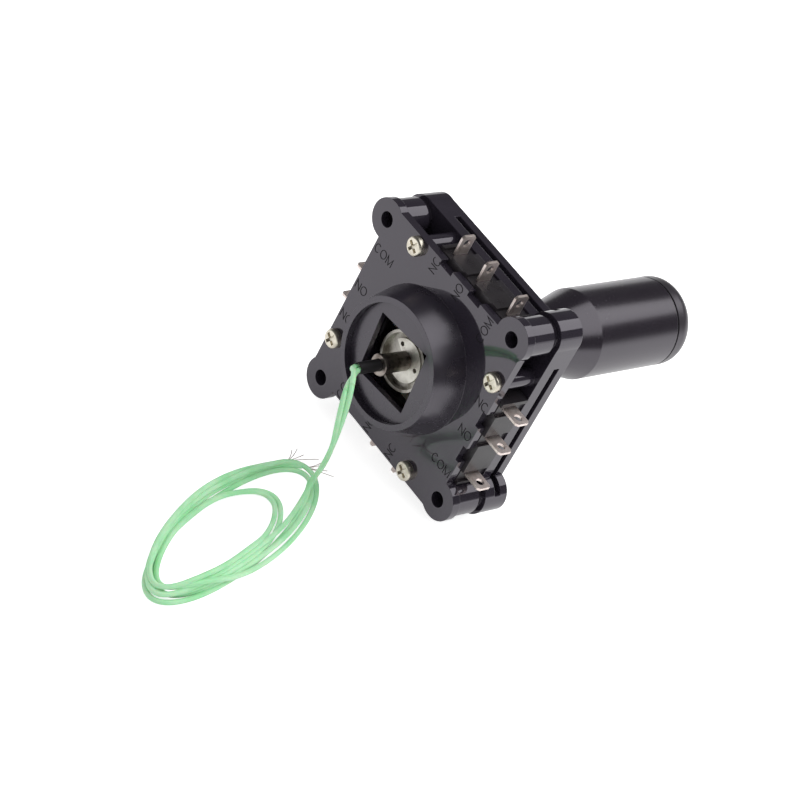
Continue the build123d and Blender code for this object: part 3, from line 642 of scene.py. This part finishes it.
finishes["body_black"] = moulded_black(
    "body_black", (0.018, 0.015, 0.022), 0.035, 0.04, swirl=0.000006, level=1.0, haze=TURNED_HAZE)
finishes["acetal_black"] = moulded_black("acetal_black", (0.016, 0.016, 0.017), 0.34, 0.10)
finishes["knob_black"] = moulded_black(
    "knob_black", (0.012, 0.009, 0.014), 0.20, 0.04, swirl=0.00001, edge=0.18 * MM, level=1.0)
finishes["cap_black"] = moulded_black(
    "cap_black", (0.024, 0.021, 0.026), 0.26, 0.08, edge=0.18 * MM, level=0.9)
finishes["button_black"] = moulded_black("button_black", (0.02, 0.02, 0.022), 0.42, 0.10)
finishes["sleeve_black"] = moulded_black("sleeve_black", (0.006, 0.006, 0.006), 0.38, 0.12, edge=0.05 * MM)
# The names are moulded in the plate's own plastic, but their black is darker and duller than the plate's.
# That is painted shade, standing for the shade along the sides of the raised strokes.
finishes["letter_black_painted_shade"] = moulded_black(
    "letter_black_painted_shade", (0.003, 0.003, 0.004), 0.5, 0.1, edge=0.02 * MM, level=0.2)
print("black plastics:", len(finishes))

# %% [markdown]
# The switch bodies are a dark filled resin, duller than the housing, with pale flecks of filler. The
# actuator and the plungers are natural acetal, which is milky: light goes in a little way and comes out
# beside it. Subsurface does that, where a paler colour alone would look like paint.

# %% Switch resin and pale acetal
def phenolic(name, colour):
    """Dark grey switch body: a cloudy colour up to three times as pale, with flecks."""
    material, place = new_finish(name)
    cloud = grain(place, 3 * MM, 4.0)
    fleck = steps(grain(place, 0.22 * MM, 1.0), (0.62, 0.0), (0.74, 1.0))
    pale = tuple(3 * part for part in colour)
    return close(place, material, Base_Color=mix(cloud * 0.6 + fleck * 0.4, colour, pale),
                 Roughness=0.2 + cloud * 0.2, IOR=1.55,
                 Normal=bumps(cloud + fleck * 0.2, 0.00003, 0.4, 0.08 * MM))


def pale_acetal(name, colour):
    """Natural acetal: cloudy between the colour and one a seventh darker, with some light in it."""
    material, place = new_finish(name)
    cloud = grain(place, 2 * MM, 3.0)
    return close(place, material, Base_Color=mix(cloud, tuple(0.86 * part for part in colour), colour),
                 Roughness=0.36 + cloud * 0.12, Subsurface_Weight=0.2, Subsurface_Scale=0.001,
                 Normal=bumps(cloud, 0.00002, 0.3, 0.08 * MM))


finishes["switch_grey"] = phenolic("switch_grey", (0.014, 0.012, 0.014))
finishes["cover_grey"] = phenolic("cover_grey", (0.016, 0.014, 0.017))
finishes["acetal_white"] = pale_acetal("acetal_white", (0.70, 0.69, 0.65))
finishes["plunger_ivory"] = pale_acetal("plunger_ivory", (0.60, 0.56, 0.48))
print("all plastics:", len(finishes))

# %% [markdown]
# The metals are mostly plated, and differ in how they were made: rolled and stamped tabs have fine lines
# along them, turned and drawn pieces have lines along the stick, and screws are only a bit dull. One
# function with a row of numbers for each metal keeps them alike in all the rest. In the table stand the
# colour, the tarnished colour, the roughness, the way of the lines and how far it is tarnished.

# %% Metals
def plated(name, colour, dull, rough, lines, worn):
    """Metal with fine lines stretched along an axis, and a patchy darker tarnish."""
    material, place = new_finish(name)
    patch = grain(place, 1.6 * MM, 4.0)
    line = grain(place, 0.12 * MM, 2.0, lines)
    tarnish = steps(patch, (0.42, 0.0), (0.66, 1.0)) * worn
    return close(place, material, Base_Color=mix(tarnish, colour, dull), Metallic=1.0,
                 Roughness=rough + patch * 0.12 + line * 0.1,
                 Normal=bumps(line + patch * 0.5, 0.00001, 0.4, 0.05 * MM))


metals = {
    "screw_nickel": ((0.84, 0.79, 0.68), (0.40, 0.36, 0.28), 0.24, (1, 1, 1), 0.4),
    "cup_nickel": ((0.50, 0.48, 0.44), (0.20, 0.18, 0.15), 0.30, (0.3, 1, 1), 0.8),
    "clip_nickel": ((0.78, 0.76, 0.70), (0.42, 0.39, 0.34), 0.34, (1, 0.3, 1), 0.5),
    "tube_nickel": ((0.36, 0.32, 0.29), (0.09, 0.07, 0.06), 0.20, (0.08, 1, 1), 0.9),
    "tab_tin": ((0.98, 0.88, 0.84), (0.62, 0.50, 0.45), 0.34, (0.7, 0.12, 0.12), 0.55),
    "pin_steel": ((0.52, 0.52, 0.52), (0.30, 0.29, 0.28), 0.25, (0.2, 1, 1), 0.4),
    "spring_steel": ((0.42, 0.42, 0.43), (0.22, 0.21, 0.20), 0.28, (0.5, 1, 1), 0.4),
    "blade_bronze": ((0.72, 0.45, 0.26), (0.40, 0.22, 0.12), 0.26, (1, 0.1, 0.1), 0.4),
}
for name, numbers in metals.items():
    finishes[name] = plated(name, *numbers)
print("metals:", len(metals))

# %% [markdown]
# The leads' insulation is soft green PVC. Light goes into it a little, and where the leads lie close
# together it looks deeper, which the light does by itself. The colour drifts slowly along a lead.

# %% Green insulation
def insulation(name, pale, deep):
    """Soft plastic whose colour drifts between two greens in patches of some millimetres."""
    material, place = new_finish(name)
    drift = grain(place, 5 * MM, 3.0)
    fine = grain(place, 0.5 * MM, 2.0)
    return close(place, material, Base_Color=mix(steps(drift, (0.35, 0.0), (0.65, 1.0)), deep, pale),
                 Roughness=0.36 + fine * 0.12, Subsurface_Weight=0.25, Subsurface_Scale=0.0008,
                 Normal=bumps(fine + drift, 0.00002, 0.25))


finishes["wire_green"] = insulation("wire_green", (0.56, 0.93, 0.60), (0.40, 0.86, 0.47))
print("finishes:", len(finishes))

# %% [markdown]
# Now every piece gets its finish. They could be given one by one, but the record names a material slot
# for each node, and there is a finish of the same name, so a loop does it. The knob's cap, the clip and
# the switch covers share a slot with a neighbour but look a little different, so each of them has a
# finish of its own.

# %% Give every piece its finish
slot_of = {part["node"]: part["material_slot"] for part in frame["record"]["subparts"]}
own_finish = {"knob_cap": "cap_black", "retaining_clip": "clip_nickel"}
own_finish.update({name: "cover_grey" for name in nodes if name.startswith("switch_cover")})
for name, node in nodes.items():
    node.material_slots[0].material = finishes[own_finish.get(name, slot_of[name])]
made_here = [(labels, "letter_black_painted_shade")]
for lead in lines:
    for piece in (wires[lead], first_bits[lead]):
        made_here.append((piece, "wire_green"))
    made_here.append((bare_ends[lead], "tab_tin"))
for piece, finish in made_here:
    piece.data.materials.append(finishes[finish])
print("pieces dressed:", len(nodes) + len(made_here))

# %% [markdown]
# The object stands on a pale floor in even light. More light would bleach the object too, so the floor
# adds a little light of its own, which only the camera, mirrors and glass can see. Lit floor then comes
# out white, and the shadow stays on it.

# %% Floor
FLOOR_HALF = 3.0
FLOOR_DROP = 0.02 * MM
PAPER = (0.86, 0.86, 0.86, 1.0)
WHITE = (1, 1, 1, 1)
GLOW_SEEN = 0.32                # for the camera, reflections and what is seen through glass
GLOW_CAMERA = 0.45              # more of it for the camera alone

floor_points = np.array([(x * FLOOR_HALF, y * FLOOR_HALF, FLOOR_Z * MM - FLOOR_DROP)
                         for x, y in ((-1, -1), (1, -1), (1, 1), (-1, 1))])
floor = put_mesh("floor", floor_points, [[0, 1, 2, 3]], smooth=False)
paper, place = new_finish("paper")
camera_ray, glossy_ray, through_ray = [place.node("ShaderNodeLightPath", output=n) for n in (0, 3, 6)]
seen = place.maths("MAXIMUM", place.maths("MAXIMUM", camera_ray, glossy_ray), through_ray)
matt = place.node("ShaderNodeBsdfDiffuse", {}, {"Color": PAPER})
strength = seen * GLOW_SEEN + camera_ray * GLOW_CAMERA
glow = place.node("ShaderNodeEmission", {}, {"Color": WHITE, "Strength": strength})
both = place.node("ShaderNodeAddShader", {}, {0: matt, 1: glow})
place.node("ShaderNodeOutputMaterial", {}, {"Surface": both})
floor.data.materials.append(paper)
print("floor at", round(FLOOR_Z, 2), "mm")

# %% [markdown]
# The world is the far background. To the eye it is white, and it gives an even light all round. In
# reflections it is white low down and dark overhead, as in a studio with a dark ceiling, which is what
# keeps black plastic looking black. The edge between the two is tipped a little: it lies higher beyond
# the object than on the camera's side.

# %% World
AMBIENT = 0.62
CEILING_TIP = 0.1
CEILING = ((0.50, 0.95), (0.54, 0.10), (0.85, 0.06))     # height from 0 to 1, and how bright it is there

world = bpy.data.worlds.new("studio")
bpy.context.scene.world = world
world.use_nodes = True
world.node_tree.nodes.clear()
sky = Socket(world.node_tree)
direction = sky.node("ShaderNodeTexCoord", output=0)
x, y, z = [sky.node("ShaderNodeSeparateXYZ", {}, {"Vector": direction}, output=n) for n in range(3)]
height = z - (x + y) * CEILING_TIP
mirrored = steps(height * 0.5 + 0.5, *CEILING)
to_eye = sky.node("ShaderNodeLightPath", output=0)
glossy = sky.node("ShaderNodeLightPath", output=3)
level = to_eye + (1 - to_eye) * (glossy * mirrored + (1 - glossy) * AMBIENT)
surface = sky.node("ShaderNodeBackground", {}, {"Color": WHITE, "Strength": level})
sky.node("ShaderNodeOutputWorld", {}, {"Surface": surface})
print("world nodes:", len(world.node_tree.nodes))

# %% [markdown]
# One large soft lamp hangs over the knob's side of the object. Several small ones would each leave a
# bright spot on the polished plastic. A large one gives a wide sheen on the knob and a soft shadow. It
# is weak, so that each colour renders about as it is written.

# %% Lamp
LAMP_AT = Vector((0.22, -0.18, 0.45))
LAMP_AIM = Vector((-0.01, -0.004, 0.0))
LAMP_SIZE = (0.62, 0.55)
LAMP_WATTS = 1.75

light = bpy.data.lights.new("overhead", "AREA")
light.shape = "RECTANGLE"
light.size, light.size_y = LAMP_SIZE
light.energy = LAMP_WATTS
lamp = bpy.data.objects.new("overhead", light)
bpy.context.scene.collection.objects.link(lamp)
lamp.location = LAMP_AT
lamp.rotation_euler = (LAMP_AIM - LAMP_AT).to_track_quat("-Z", "Y").to_euler()
bpy.context.scene.view_settings.view_transform = "Standard"
print("lamp", round((LAMP_AIM - LAMP_AT).length, 2), "m away")
